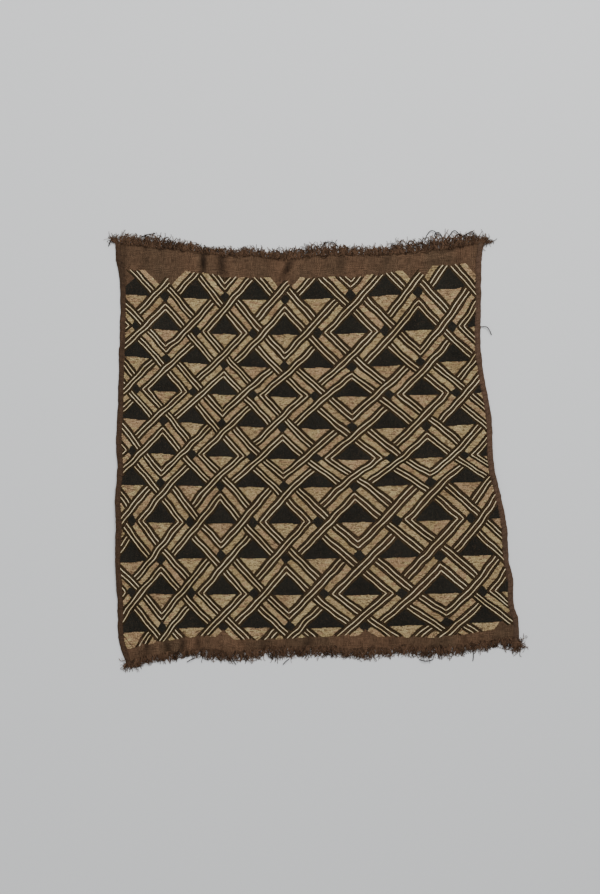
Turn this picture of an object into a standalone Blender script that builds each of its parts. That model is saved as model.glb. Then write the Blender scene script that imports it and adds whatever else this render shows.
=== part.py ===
"""Kuba raffia cloth, lying face up: one plain-woven raffia panel with rolled side hems and an
embroidered field, and a raffia fringe at each of its two cut ends.

X runs across the cloth, Y up it, and Z out of its face. The origin is on the underside, at the
middle of the panel. Sizes are in millimetres, and the meshes are made in metres."""

import math

import bmesh
import bpy
import numpy as np

MM = 0.001

# Thicknesses
GROUND_THICK = 1.5  # bare plain weave of the top and bottom hems
FIELD_THICK = 3.0  # ground with its embroidery and cut pile
PILE_EDGE = 2.5  # width over which the field rises from the bare hem

# The side hems are rolled to the face: height of the roll at each distance from its outer edge
ROLL_WIDTH = 9.2
ROLL_COLUMNS = ("distance", "height")
ROLL_PROFILE = [
    (0.0, 1.6),
    (2.0, 2.9),
    (4.6, 3.5),
    (7.2, 3.0),
]

# Grid of the panel
FIELD_COLUMNS = 24
FIELD_ROWS = 24
BOTTOM_HEM_ROWS = 3
TOP_HEM_ROWS = 4

# The long sides, from the bottom corner to the top one
SIDE_COLUMNS = ("y", "x")
LEFT_SIDE = [
    (-320.3, -285.5),
    (-288.8, -296.6),
    (-233.3, -299.1),
    (-162.8, -302.9),
    (-114.8, -301.5),
    (-68.3, -302.9),
    (-27.8, -299.4),
    (8.3, -301.6),
    (56.3, -299.4),
    (134.3, -297.3),
    (205.0, -295.4),
    (261.8, -297.0),
    (290.3, -302.0),
    (312.8, -303.0),
]
RIGHT_SIDE = [
    (-285.8, 303.3),
    (-254.3, 302.0),
    (-233.3, 295.8),
    (-192.8, 294.0),
    (-162.8, 288.0),
    (-114.8, 284.9),
    (-68.3, 276.0),
    (-27.8, 266.2),
    (56.3, 260.9),
    (99.8, 252.8),
    (150.8, 245.8),
    (222.8, 246.4),
    (290.3, 247.6),
    (312.8, 250.2),
]

# The cut ends and the ends of the embroidered field, from the left to the right
END_COLUMNS = ("x", "y")
BOTTOM_END = [
    (-285.5, -320.3),
    (-271.0, -314.8),
    (-241.5, -309.0),
    (-183.0, -300.8),
    (-165.0, -299.8),
    (-129.0, -305.0),
    (-93.0, -299.8),
    (15.0, -297.2),
    (70.5, -299.6),
    (117.0, -295.8),
    (205.5, -295.6),
    (280.5, -285.4),
    (303.3, -285.8),
]
TOP_END = [
    (-303.0, 312.8),
    (-246.0, 305.6),
    (-181.5, 299.3),
    (-138.0, 293.8),
    (-93.0, 292.8),
    (-48.0, 287.9),
    (-3.0, 292.6),
    (112.5, 295.5),
    (171.0, 301.5),
    (250.2, 312.8),
]
FIELD_BOTTOM = [
    (-285.5, -298.0),
    (-234.0, -287.5),
    (-170.0, -279.0),
    (-127.5, -283.0),
    (28.5, -278.4),
    (228.0, -275.2),
    (303.3, -258.5),
]
FIELD_TOP = [
    (-303.0, 271.5),
    (-188.0, 268.2),
    (-120.0, 260.4),
    (0.0, 260.2),
    (80.0, 263.6),
    (160.0, 275.0),
    (250.2, 282.5),
]

# Soft folds and lifted edges: centre, direction of the ridge, half length, half width and height
FOLD_COLUMNS = ("x", "y", "angle", "half_length", "half_width", "height")
FOLDS = [
    (-186.0, 279.0, 84.0, 30.0, 13.0, 2.2),
    (-142.0, 276.0, 92.0, 28.0, 12.0, 1.8),
    (-50.0, 274.0, 90.0, 26.0, 15.0, 2.4),
    (180.0, 288.0, 10.0, 46.0, 9.0, 2.2),
    (-212.0, -296.0, 78.0, 22.0, 16.0, 2.0),
    (-137.0, -292.0, 88.0, 24.0, 18.0, 2.6),
    (-62.0, -289.0, 96.0, 20.0, 15.0, 1.6),
    (-296.0, -120.0, 90.0, 150.0, 17.0, 3.2),
    (264.0, -20.0, 100.0, 90.0, 15.0, 2.4),
]
END_FLAT = 3.0  # no fold lifts this much of the cloth at its cut ends
END_EASE = 14.0  # and a fold comes up to its full height over this much more

# Fringe: strands of unwoven raffia on a narrow strip that follows the cut end
GAP = 0.35
STRIP_WIDTH = 2.4
STRANDS_PER_BLOCK = 6
STRANDS_AT_CORNER = 2
ROOT_SHARE = 0.5  # root width as a share of the pitch
STRAND_RINGS = ((0.5, 0.8, 1.3), (1.0, 0.45, 0.9))  # share of the length, of the width, height
LENGTH_COLUMNS = ("x", "length")
TOP_LENGTHS = [
    (-303.0, 11.0),
    (-235.0, 13.0),
    (-130.0, 10.0),
    (-45.0, 13.5),
    (60.0, 10.0),
    (110.0, 13.0),
    (180.0, 16.0),
    (215.0, 12.0),
    (250.2, 13.0),
]
BOTTOM_LENGTHS = [
    (-285.5, 9.5),
    (-262.0, 10.5),
    (-212.0, 8.0),
    (-183.0, 5.5),
    (-160.0, 12.0),
    (-110.0, 12.5),
    (-85.0, 9.5),
    (10.0, 13.0),
    (90.0, 10.5),
    (200.0, 12.0),
    (280.0, 13.0),
    (303.3, 18.0),
]
LENGTH_SPREAD = 0.22  # how far a strand's length departs from the table's
SWAY = 0.22  # sideways drift of a strand for its length, in slow waves along the fringe
SWAY_PERIOD = 31.0
FAN = 0.42  # extra outward drift at a corner
FAN_REACH = 24.0
KINK = 0.45  # sideways kink of one strand, unlike its neighbours'
SEED = 7

# Colours, linear RGB
CLOTH_COLOUR = (0.085, 0.055, 0.034)
FRINGE_COLOUR = (0.052, 0.030, 0.020)
ROUGHNESS = 0.85


def smooth_curve(table, at):
    """The value at each position, on a smooth curve through a table's rows of position, value."""
    knots, values = np.array(table, float).T
    slopes = np.gradient(values, knots)
    at = np.asarray(at, float)
    low = np.clip(np.searchsorted(knots, at, side="right") - 1, 0, len(knots) - 2)
    step = knots[low + 1] - knots[low]
    t = (at - knots[low]) / step
    from_low = values[low] * (1 + 2 * t) * (1 - t) ** 2 + slopes[low] * step * t * (1 - t) ** 2
    from_high = values[low + 1] * t**2 * (3 - 2 * t) - slopes[low + 1] * step * t**2 * (1 - t)
    return from_low + from_high


def ease(t):
    """0 to 1 with level ends."""
    t = np.clip(t, 0.0, 1.0)
    return t * t * (3 - 2 * t)


def hump(t):
    """1 at 0, falling smoothly to 0 at -1 and 1."""
    return 1 - ease(np.abs(t))


def column_positions(left, right):
    """Every grid column's x between two side points: the left roll, the field, the right roll."""
    from_edge = [distance for distance, _ in ROLL_PROFILE]
    inner = np.linspace(left + ROLL_WIDTH, right - ROLL_WIDTH, FIELD_COLUMNS + 1)
    rolls = [left + d for d in from_edge], [right - d for d in reversed(from_edge)]
    return np.concatenate([rolls[0], inner, rolls[1]])


def row_bands():
    """Each grid row as (lower curve, upper curve, share of the way up, thickness)."""
    rows = [("bottom", "field_bottom", t, GROUND_THICK) for t in np.linspace(0, 1, BOTTOM_HEM_ROWS + 1)]
    rows += [("field_low", "field_high", t, FIELD_THICK) for t in np.linspace(0, 1, FIELD_ROWS + 1)]
    rows += [("field_top", "top", t, GROUND_THICK) for t in np.linspace(0, 1, TOP_HEM_ROWS + 1)]
    return rows


def lift(x, y, bottom, top):
    """Height of the underside: the sum of the folds, held down at the two cut ends."""
    total = np.zeros_like(x)
    for fold in FOLDS:
        row = dict(zip(FOLD_COLUMNS, fold))
        angle = math.radians(row["angle"])
        dx = x - row["x"]
        dy = y - row["y"]
        along = dx * math.cos(angle) + dy * math.sin(angle)
        across = dy * math.cos(angle) - dx * math.sin(angle)
        total += row["height"] * hump(along / row["half_length"]) * hump(across / row["half_width"])
    held = ease((np.minimum(y - bottom, top - y) - END_FLAT) / END_EASE)
    return total * held


def panel_grid():
    """The panel's grid as x, y, underside height and thickness, rows first."""
    corner_x = [LEFT_SIDE[0][1], RIGHT_SIDE[0][1], LEFT_SIDE[-1][1], RIGHT_SIDE[-1][1]]
    x_bottom = column_positions(corner_x[0], corner_x[1])
    x_top = column_positions(corner_x[2], corner_x[3])
    curves = {
        "bottom": smooth_curve(BOTTOM_END, x_bottom),
        "field_bottom": smooth_curve(FIELD_BOTTOM, x_bottom),
        "field_top": smooth_curve(FIELD_TOP, x_top),
        "top": smooth_curve(TOP_END, x_top),
    }
    curves["field_low"] = curves["field_bottom"] + PILE_EDGE
    curves["field_high"] = curves["field_top"] - PILE_EDGE
    x_rows, y_rows, thick_rows = [], [], []
    for lower, upper, share, thick in row_bands():
        y = curves[lower] + share * (curves[upper] - curves[lower])
        left = float(smooth_curve(LEFT_SIDE, y[0]))
        right = float(smooth_curve(RIGHT_SIDE, y[-1]))
        x_rows.append(column_positions(left, right))
        y_rows.append(y)
        roll = [height for _, height in ROLL_PROFILE]
        thick_rows.append(roll + [thick] * (FIELD_COLUMNS + 1) + roll[::-1])
    x, y, thick = np.array(x_rows), np.array(y_rows), np.array(thick_rows)
    return x, y, lift(x, y, curves["bottom"], curves["top"]), thick


def add_object(name, bm, material):
    """A named object from a bmesh whose points are in millimetres."""
    bmesh.ops.scale(bm, vec=(MM, MM, MM), verts=bm.verts)
    bmesh.ops.recalc_face_normals(bm, faces=bm.faces)
    mesh = bpy.data.meshes.new(name)
    bm.to_mesh(mesh)
    bm.free()
    mesh.shade_smooth()
    mesh.set_sharp_from_angle(angle=math.radians(50))
    mesh.materials.append(material)
    item = bpy.data.objects.new(name, mesh)
    bpy.context.scene.collection.objects.link(item)
    return item


def plain_material(name, colour):
    material = bpy.data.materials.new(name)
    material.use_nodes = True
    shader = material.node_tree.nodes["Principled BSDF"]
    shader.inputs["Base Color"].default_value = (*colour, 1.0)
    shader.inputs["Roughness"].default_value = ROUGHNESS
    shader.inputs["Metallic"].default_value = 0.0
    return material


def make_cloth(material):
    """The panel as one closed sheet: an upper face, an underside and the wall round them."""
    x, y, low, thick = panel_grid()
    bm = bmesh.new()
    rows, columns = x.shape
    under = [[bm.verts.new((x[r, c], y[r, c], low[r, c])) for c in range(columns)] for r in range(rows)]
    over = [
        [bm.verts.new((x[r, c], y[r, c], low[r, c] + thick[r, c])) for c in range(columns)]
        for r in range(rows)
    ]
    for r in range(rows - 1):
        for c in range(columns - 1):
            bm.faces.new((over[r][c], over[r][c + 1], over[r + 1][c + 1], over[r + 1][c]))
            bm.faces.new((under[r][c], under[r + 1][c], under[r + 1][c + 1], under[r][c + 1]))
    rim = [(0, c) for c in range(columns)] + [(r, columns - 1) for r in range(1, rows)]
    rim += [(rows - 1, c) for c in range(columns - 2, -1, -1)] + [(r, 0) for r in range(rows - 2, 0, -1)]
    for (r0, c0), (r1, c1) in zip(rim, rim[1:] + rim[:1]):
        bm.faces.new((under[r0][c0], under[r1][c1], over[r1][c1], over[r0][c0]))
    return add_object("cloth", bm, material)


def strand_drift(x, ends):
    """Sideways drift of a strand for each unit of its length: slow waves, fanned at the corners."""
    fan = hump((x - ends[1]) / FAN_REACH) - hump((x - ends[0]) / FAN_REACH)
    return SWAY * math.sin(x / SWAY_PERIOD) + FAN * float(fan)


def add_strand(bm, root, outward, length, drift, kink):
    """One four-sided strand, level on the surface, grown from the four points of its root."""
    low_a, low_b, high_b, high_a = root
    middle = (low_a.co + low_b.co) / 2
    width = (low_b.co - low_a.co).length
    previous = [low_a, low_b, high_b, high_a]
    for share, narrowed, height in STRAND_RINGS:
        x = middle.x + drift * length * share + kink * math.sin(math.pi * share)
        y = middle.y + outward * length * share
        half = width * narrowed / 2
        corners = ((x - half, 0.0), (x + half, 0.0), (x + half, height), (x - half, height))
        ring = [bm.verts.new((cx, y, cz)) for cx, cz in corners]
        for i in range(4):
            j = (i + 1) % 4
            bm.faces.new((previous[i], previous[j], ring[j], ring[i]))
        previous = ring
    bm.faces.new(previous)


def make_fringe(name, edge_x, edge_y, outward, lengths, material):
    """A strip along a cut end, in blocks as long as the panel's columns, with its strands."""
    rng = np.random.default_rng(SEED + (1 if outward > 0 else 0))
    bm = bmesh.new()
    inner_y = edge_y + outward * GAP
    outer_y = inner_y + outward * STRIP_WIDTH

    def post(x, y):
        return bm.verts.new((x, y, 0.0)), bm.verts.new((x, y, GROUND_THICK))

    inner = [post(x, y) for x, y in zip(edge_x, inner_y)]
    outer = [post(x, y) for x, y in zip(edge_x, outer_y)]
    for i in range(len(edge_x) - 1):
        at_corner = i in (0, len(edge_x) - 2)
        count = STRANDS_AT_CORNER if at_corner else STRANDS_PER_BLOCK
        line = [outer[i]]
        for k in range(count):
            for side in (-1, 1):
                share = (k + 0.5 + side * ROOT_SHARE / 2) / count
                x = edge_x[i] + share * (edge_x[i + 1] - edge_x[i])
                y = outer_y[i] + share * (outer_y[i + 1] - outer_y[i])
                line.append(post(x, y))
        line.append(outer[i + 1])
        for level in (0, 1):
            bm.faces.new([inner[i + 1][level], inner[i][level], *(p[level] for p in line)])
        bm.faces.new((inner[i][0], inner[i + 1][0], inner[i + 1][1], inner[i][1]))
        for a, b in zip(line[0::2], line[1::2]):
            bm.faces.new((a[0], b[0], b[1], a[1]))
        for a, b in zip(line[1::2], line[2::2]):
            x = (a[0].co.x + b[0].co.x) / 2
            length = float(smooth_curve(lengths, x)) * (1 + LENGTH_SPREAD * rng.uniform(-1, 1))
            drift = strand_drift(x, (edge_x[0], edge_x[-1]))
            add_strand(bm, (a[0], b[0], b[1], a[1]), outward, length, drift, KINK * rng.uniform(-1, 1))
    for end in (0, -1):
        bm.faces.new((inner[end][0], outer[end][0], outer[end][1], inner[end][1]))
    return add_object(name, bm, material)


def make_fringes(material):
    """A fringe at each cut end, on the same points as the panel's edge there."""
    x, y, _, _ = panel_grid()
    roll = len(ROLL_PROFILE)
    blocks = [0, *range(roll, roll + FIELD_COLUMNS + 1), x.shape[1] - 1]
    make_fringe("fringe_bottom", x[0, blocks], y[0, blocks], -1, BOTTOM_LENGTHS, material)
    make_fringe("fringe_top", x[-1, blocks], y[-1, blocks], 1, TOP_LENGTHS, material)


def main():
    for item in list(bpy.data.objects):
        bpy.data.objects.remove(item, do_unlink=True)
    make_cloth(plain_material("raffia_cloth", CLOTH_COLOUR))
    make_fringes(plain_material("raffia_fringe", FRINGE_COLOUR))


main()
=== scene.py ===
"""The looks of a kuba raffia cloth that lies face up on a pale floor.

The embroidered interlace is worked out by one rule on a lattice of cells. Turn cells and plain
cells alternate, and each turn cell sends out two bands of stitches, which turn at two of its
corners and cross its neighbours' bands at the other two. X runs across the cloth, Y up it and Z
out of its face. Sizes are in millimetres, and the meshes are made in metres."""

import math

import bpy
import numpy as np
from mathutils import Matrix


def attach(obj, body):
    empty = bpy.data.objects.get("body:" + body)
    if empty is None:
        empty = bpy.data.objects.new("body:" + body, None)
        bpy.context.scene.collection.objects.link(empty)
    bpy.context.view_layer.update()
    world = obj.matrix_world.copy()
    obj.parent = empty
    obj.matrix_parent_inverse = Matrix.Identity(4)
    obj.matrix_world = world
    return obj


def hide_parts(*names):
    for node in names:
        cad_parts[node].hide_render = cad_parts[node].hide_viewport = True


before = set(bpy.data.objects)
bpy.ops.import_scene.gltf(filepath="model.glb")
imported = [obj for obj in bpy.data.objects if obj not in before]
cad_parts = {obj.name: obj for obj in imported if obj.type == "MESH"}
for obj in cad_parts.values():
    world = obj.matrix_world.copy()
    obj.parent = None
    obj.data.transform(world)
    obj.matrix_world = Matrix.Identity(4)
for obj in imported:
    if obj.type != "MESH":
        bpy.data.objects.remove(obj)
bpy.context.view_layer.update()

MM = 0.001
BAND_SEED, BLACK_SEED, TAN_SEED, WHIP_SEED = 11, 41, 51, 71

# The cloth's outline, field and folds, as the solids have them. The sides have columns y, x.
LEFT_SIDE = [
    (-320.3, -285.5), (-288.8, -296.6), (-233.3, -299.1), (-162.8, -302.9),
    (-114.8, -301.5), (-68.3, -302.9), (-27.8, -299.4), (8.3, -301.6),
    (56.3, -299.4), (134.3, -297.3), (205, -295.4), (261.8, -297),
    (290.3, -302), (312.8, -303),
]
RIGHT_SIDE = [
    (-285.8, 303.3), (-254.3, 302), (-233.3, 295.8), (-192.8, 294),
    (-162.8, 288), (-114.8, 284.9), (-68.3, 276), (-27.8, 266.2),
    (56.3, 260.9), (99.8, 252.8), (150.8, 245.8), (222.8, 246.4),
    (290.3, 247.6), (312.8, 250.2),
]

# The cut ends and the ends of the embroidered field, with columns x, y
BOTTOM_END = [
    (-285.5, -320.3), (-271, -314.8), (-241.5, -309), (-183, -300.8),
    (-165, -299.8), (-129, -305), (-93, -299.8), (15, -297.2),
    (70.5, -299.6), (117, -295.8), (205.5, -295.6), (280.5, -285.4),
    (303.3, -285.8),
]
TOP_END = [
    (-303, 312.8), (-246, 305.6), (-181.5, 299.3), (-138, 293.8),
    (-93, 292.8), (-48, 287.9), (-3, 292.6), (112.5, 295.5),
    (171, 301.5), (250.2, 312.8),
]
FIELD_BOTTOM = [
    (-285.5, -298), (-234, -287.5), (-170, -279), (-127.5, -283),
    (28.5, -278.4), (228, -275.2), (303.3, -258.5),
]
FIELD_TOP = [
    (-303, 271.5), (-188, 268.2), (-120, 260.4), (0, 260.2),
    (80, 263.6), (160, 275), (250.2, 282.5),
]

FOLD_COLUMNS = ("x", "y", "angle", "half_length", "half_width", "height")
FOLDS = [
    (-186, 279, 84, 30, 13, 2.2),
    (-142, 276, 92, 28, 12, 1.8),
    (-50, 274, 90, 26, 15, 2.4),
    (180, 288, 10, 46, 9, 2.2),
    (-212, -296, 78, 22, 16, 2),
    (-137, -292, 88, 24, 18, 2.6),
    (-62, -289, 96, 20, 15, 1.6),
    (-296, -120, 90, 150, 17, 3.2),
    (264, -20, 100, 90, 15, 2.4),
]
END_FLAT = 3.0  # no fold lifts this much of the cloth at its cut ends
END_EASE = 14.0  # and a fold comes up to its full height over this much more
GROUND_THICK = 1.5
GROUND_WAVES = [(9.0, 0.08, 5)]  # the face's unevenness, as length, size and seed

# Narrower creases of the two bare hems, in the same columns as the folds
CREASES = [
    (-169, 287, 90, 24, 6, 4.4), (-137, 284, 92, 24, 10, 4.6),
    (-43, 277, 71, 22, 7, 3.8), (-206, 292, 88, 26, 8, 1.8),
    (-100, 278, 94, 20, 9, 1.6), (20, 278, 92, 20, 12, 1.6),
    (92, 282, 88, 22, 12, 1.2), (186, 297, 11, 44, 6.5, 3.4),
    (-258, 292, 90, 22, 9, 1.2), (-262, -296, 70, 16, 7, 3.6),
    (-243, -294, 84, 16, 5, 2.6), (-222, -292, 96, 18, 6.5, 3.8),
    (-200, -288, 82, 16, 5, 2.4), (-176, -288, 90, 18, 6, 3.2),
    (-140, -290, 88, 18, 9, 3.6), (-104, -288, 96, 16, 6, 2.4),
    (-74, -286, 84, 16, 8, 3), (-18, -286, 92, 14, 10, 1.8),
    (44, -286, 88, 14, 12, 1.6), (112, -284, 92, 14, 9, 1.8),
    (180, -282, 86, 14, 12, 1.8), (246, -276, 90, 16, 10, 2.2),
]

# Painted shade and painted highlight of the bare hems: the ground's colour is darkened along the creases
# and lightened along the ridges, as the folds' light and shade, and darkened a little along the bottom
# cut end.
# The direction is that of the place's length, and a paler place has a darkness below nought.
FOLD_SHADING_LAYER = "fold_shading"
FOLD_SHADING_COLUMNS = ("x", "y", "angle", "half_length", "half_width", "darkness")
PAINTED_FOLD_SHADING = [
    (-170, 284, 90, 40, 8, 0.8), (-182, 286, 88, 34, 8, -0.2),
    (-143, 282, 91, 40, 12, 0.62), (-158, 284, 90, 32, 8, -0.16),
    (-124, 280, 90, 32, 10, -0.16), (-44, 274, 65, 32, 8, 0.7),
    (-28, 276, 65, 30, 10, -0.16), (-72, 276, 90, 30, 10, 0.16),
    (36, 280, 90, 26, 12, 0.3), (104, 284, 60, 30, 9, 0.2),
    (122, 284, 60, 30, 14, -0.18), (203, 302, 20, 46, 6.5, 0.6),
    (186, 294, 13, 56, 8, -0.26), (213, 288, 72, 26, 9, 0.3),
    (-290, 282, 88, 54, 8, 0.42), (-257, 288, 90, 34, 7, 0.22),
    (-255, -297, 90, 24, 8, 0.5), (-239, -296, 90, 24, 9, -0.24),
    (-224, -294, 92, 24, 8, 0.5), (-212, -293, 90, 24, 7, -0.22),
    (-201, -290, 88, 24, 7, 0.5), (-188, -289, 90, 22, 7, -0.22),
    (-178, -288, 90, 22, 6, 0.4), (-136, -291, 90, 24, 28, -0.2),
    (-80, -288, 90, 22, 11, 0.3), (-12, -286, 90, 22, 14, 0.4),
    (26, -286, 90, 22, 16, -0.12), (112, -284, 90, 22, 14, 0.24),
    (205, -284, 90, 22, 12, -0.16), (221, -278, 90, 24, 9, 0.42),
    (236, -276, 90, 24, 8, -0.12), (-150, -303, 2, 150, 5, 0.1),
    (160, -296, 2, 170, 5, 0.1),
]

# Grid of the woven ground
GROUND_COLUMNS = 280
GROUND_ROWS = (14, 50, 18)  # in the bottom hem, the embroidered field and the top hem
ROLL_UNDER = 1.5  # the ground stops this far inside a rolled hem's outer edge
SEWN_UNDER = 0.8  # and the embroidery goes this far under the hem's inner edge

# Lattice of cells. A row of cells lies at each whole number, from 0 at the top to 10, and turn
# cells have the odd ones. Across, plain cells lie at whole numbers and turn cells half way.
# Where each column lies at some rows, and the line on which each row's cells are split.
CELL_X_ROWS = (0, 2, 4, 6, 8, 10)
CELL_X = [
    (-273, -182.1, -94.1, -0.5, 102.1, 198.7, 290),
    (-270.6, -182.4, -95.4, -0.2, 104.2, 204.8, 298),
    (-273.4, -186.9, -97.6, -3, 110.1, 215.4, 308),
    (-277.7, -189.8, -98.3, 1, 113.1, 225.2, 318),
    (-278.2, -189.6, -95.4, 5.3, 123.9, 240, 334),
    (-275.2, -188.2, -90.9, 13, 133.4, 254, 346),
]
CELL_Y_COLUMNS = (0, 1.25, 2.5, 3.75, 5)
CELL_Y = [
    (232.8, 227.1, 226.1, 230.4, 242.7),
    (184.5, 175.3, 173.2, 176.2, 183.2),
    (139.7, 128.5, 123.4, 125, 133.2),
    (90.2, 84.5, 79.7, 80.8, 84.9),
    (46.7, 38.9, 33, 32.5, 38.1),
    (-2.8, -8.7, -13.1, -14, -9.2),
    (-51.6, -53.4, -55.8, -54.2, -48),
    (-107.5, -109.7, -109.5, -107.4, -103.4),
    (-167.5, -161.2, -162.4, -161, -157.4),
    (-214.3, -216, -216.9, -216.5, -213.1),
    (-272.3, -265.3, -266.8, -263.9, -258.1),
]
LAST_ROW = 10
SPLIT_DROP = 2.2  # the two colours of a cell meet this far under its middle
FIRST_COLUMN, LAST_COLUMN = -1, 6
UNIT = 97.0  # height of one lattice unit, about
# The waver of a hand, across and up the cloth, as length, size and seed
HAND_WAVES_X = [(28.0, 0.8, 21), (10.0, 0.36, 22)]
HAND_WAVES_Y = [(28.0, 0.8, 23), (10.0, 0.36, 24)]

# Parts of a cell, in lattice units
RING = 0.34  # a band's centre-line from its cell's middle
BAND_HALF = 0.105
INNER = RING - BAND_HALF
STRIP_HALF = 0.055
DIAMOND_NEAR = 0.068  # a corner diamond where bands pass it, and where none does
DIAMOND_FAR = 0.104
DIAMOND_CUT = 0.028  # how much of each of its corners is cut off
STRIP_END = 0.405
PATH_STEP = 0.02

# A band's rows of stem stitch on each side of its centre-line: offset, width, height, thread
BAND_ROWS = [
    (0.014, 1.9, 0.8, "dark"),
    (0.041, 1.24, 1.15, "cream"),
    (0.066, 1.9, 0.8, "dark"),
    (0.094, 2.4, 0.98, "dark"),
]
STITCH_PITCH = {"dark": 5.0, "cream": 4.2}
STITCH_OVERLAP = 0.22  # in stitch lengths
STITCH_SPREAD = 0.12  # in pitches
STITCH_SLANT = 0.28
STITCH_SHOULDERS = (0.24, 0.76)  # a stitch is widest between these shares of its length
STITCH_SUNK = 0.1  # its edges lie this far inside the ground
STITCH_TIP = 0.12  # height of its ends, as a share of its own

# Filled areas: rows of pile, as pitch, stitch length, width and height
TAN_PILE = (1.25, 3.2, 1.25, 0.95)
BLACK_PILE = (1.3, 1.9, 1.62, 1.35)
PILE_SPREAD, PILE_OVERLAP = 0.3, 0.15  # in stitch lengths
PILE_LEAN = 0.15  # in pitches
SHORTEST_ROW = 0.6
SIDE_POINTS = 6  # on each side of a patch's outline
BLACK_INSET = -0.014
TAN_INSET = 0.01
TAN_THIN = 0.19  # share of the tan stitches so thin that the dark ground shows as a dash
THIN_SIZE = 0.36  # their size against the others'
TAN_RAGGED, BLACK_RAGGED = 0.55, 0.25  # rows of stitches end this much over or short
TONE_DRIFT, TONE_WAVE = 0.9, 10.0  # a patch's tone drifts from row to row, in waves this long

# Places at the panel's corners where bands were never sewn, and below the tan that fills one
# of them, in lattice units. Columns: lowest a, highest a, lowest b, highest b.
UNSEWN = [
    (-0.8, 0.235, -0.56, -0.2),
    (5.54, 5.8, 4.0, 5.3),
    (-5.47, -5.235, 4.55, 5.47),
    (-0.235, 1.5, 10.2, 10.47),
    (1.1, 1.6, 9.7, 10.5),
]
CORNER_BANDS = [[(0.34, 10.17), (0.34, 10.47)]]  # shows where the band over it was never sewn
CORNER_FILL = [(-5.47, 4.576), (-5.235, 4.811), (-5.235, 5.235), (-5.47, 5.3)]

# Fringe
TUFT_PITCH = 3.2
TUFT_SPREAD = 0.28  # of a tuft's fibres, in pitches
TUFT_LENGTHS = (0.8, 1.15)
TUFT_LEAN, FIBRE_LEAN, CORNER_LEAN = 0.35, 0.3, 0.5
CORNER_REACH = 16.0
FIBRES_PER_TUFT = 10
FIBRE_POINTS = 10
FIBRE_RADIUS = (0.38, 0.76)
FIBRE_LENGTHS = (0.75, 1.1, 1.35, 1.55)  # as shares of the length in the tables below
FIBRE_CURL = 2.1
FIBRE_WAVER = (0.2, 0.9)
FIBRE_RISE = (0.2, 2.6)
TOP_FRAYED, BOTTOM_FRAYED = 4.4, 6.8  # the fibres come loose this far inside the cut ends
FRAY_FALL = 2.2  # above 1, most of them come loose near the cut end
CORNER_COLUMNS = ("x", "y", "lean", "spread", "length", "count")
TOP_CORNERS = [(-299.0, 312.0, -50.0, 0.6, 9.0, 34), (248.0, 313.0, 75.0, 0.5, 14.0, 40)]
BOTTOM_CORNERS = [(-278.0, -317.5, 8.0, 0.6, 10.0, 64), (296.0, -288.0, 30.0, 0.6, 15.0, 50)]

# Length of the fringe along each cut end, with columns x, length
TOP_LENGTHS = [
    (-303, 12), (-270, 12.6), (-248, 14.5), (-222, 13),
    (-195, 10.9), (-172, 9), (-128, 8.8), (-98, 11),
    (-82, 9.8), (-45, 12), (-22, 13.2), (22, 14),
    (45, 12), (82, 9.4), (112, 11.8), (130, 16),
    (148, 13), (176, 18.5), (205, 15.5), (232, 13.8),
    (250.2, 11.6),
]
BOTTOM_LENGTHS = [
    (-285.5, 11.2), (-261, 9.8), (-240, 8.2), (-201, 8.2),
    (-187, 7.2), (-168, 12.2), (-126, 9), (-104, 13.6),
    (-81, 11.2), (-55, 13.8), (-25, 12.4), (0, 10),
    (39, 11.6), (99, 11.6), (140, 10.3), (162, 14.5),
    (189, 10.4), (204, 12), (222, 9.2), (245, 11.2),
    (264, 9.2), (285, 11.6), (303.3, 16),
]

# Each fringe: its cut end, its direction, its lengths, its fray, its corner tufts and its seed
FRINGES = {
    "top": (TOP_END, 1, TOP_LENGTHS, TOP_FRAYED, TOP_CORNERS, 61),
    "bottom": (BOTTOM_END, -1, BOTTOM_LENGTHS, BOTTOM_FRAYED, BOTTOM_CORNERS, 62),
}

# Threads that have worked loose, each as x, y along it
STRAY_POINTS = 24
STRAY_RADIUS = 0.75
STRAY_LOW, STRAY_ARCH = 0.7, 1.8  # height of a thread's middle at its ends, and its rise between
STRAY_WAVES = [(9.0, 0.2, 81)]
STRAY_THREADS = [
    [(-303.8, 318.5), (-307.5, 315.8), (-310.5, 311.3), (-313, 306)],
    [(7.5, 304.5), (9.8, 309.8), (16.5, 312.3), (25.5, 311.3), (31.5, 305.3)],
    [(162, 314.3), (165, 323.3), (171, 329.3),
     (177.8, 327), (178.5, 321), (174, 314.3)],
    [(176, 322), (178, 326), (183, 326.3), (187.5, 321)],
    [(193.5, 316.5), (198, 321.8), (206.3, 329.6), (216.8, 321), (223.5, 324), (232.5, 328.5),
     (236.3, 321.8)],
    [(-264, 320), (-255, 323.3), (-242.3, 325.5)],
    [(243.8, 185.3), (253.5, 185.3), (258, 180.8), (261.8, 173.3)],
    [(-129, -309.8), (-125.3, -315.8), (-121.5, -321)],
    [(-51, -321), (-46.5, -315.8), (-42, -312.8)],
    [(153, -313.5), (163.5, -315.8), (174, -313.5)],
    [(233.3, -299.3), (234.5, -306.8), (233.7, -315.8)],
    [(-195, -317.3), (-189, -313.5), (-183, -311.3)],
]

# Rolled side hems and their whip stitches. The waves are length, size and seed.
ROLL_WIDTH = 9.2
ROLL_HEIGHT = 3.4
ROLL_WIDTH_WAVES = [(34.0, 0.8, 31), (9.0, 0.4, 32)]
ROLL_HEIGHT_WAVES = [(21.0, 0.3, 33), (7.0, 0.2, 34)]
ROLL_SWAY = [(24.0, 0.4, 35)]
ROLL_STATIONS = 420
ROLL_SIDES = 12
ROLL_ROUND = 0.75  # below 1, the roll is fuller than half a circle
ROLL_EDGE = 0.04  # height of its edges, as a share of its own
ROLL_BASE = 0.48  # half of its underside, in widths
WHIP_PITCH = 9.5
WHIP_END = 4.0  # none starts nearer than this to a hem's ends
WHIP_SPREAD = 2.0
WHIP_SLANT = 5.0
WHIP_POINTS = 7
WHIP_TURN = 0.72  # how far over the roll a stitch goes, in half turns
WHIP_OUT, WHIP_UP = 0.51, 0.04  # its middle line, in widths and heights of the roll
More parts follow.
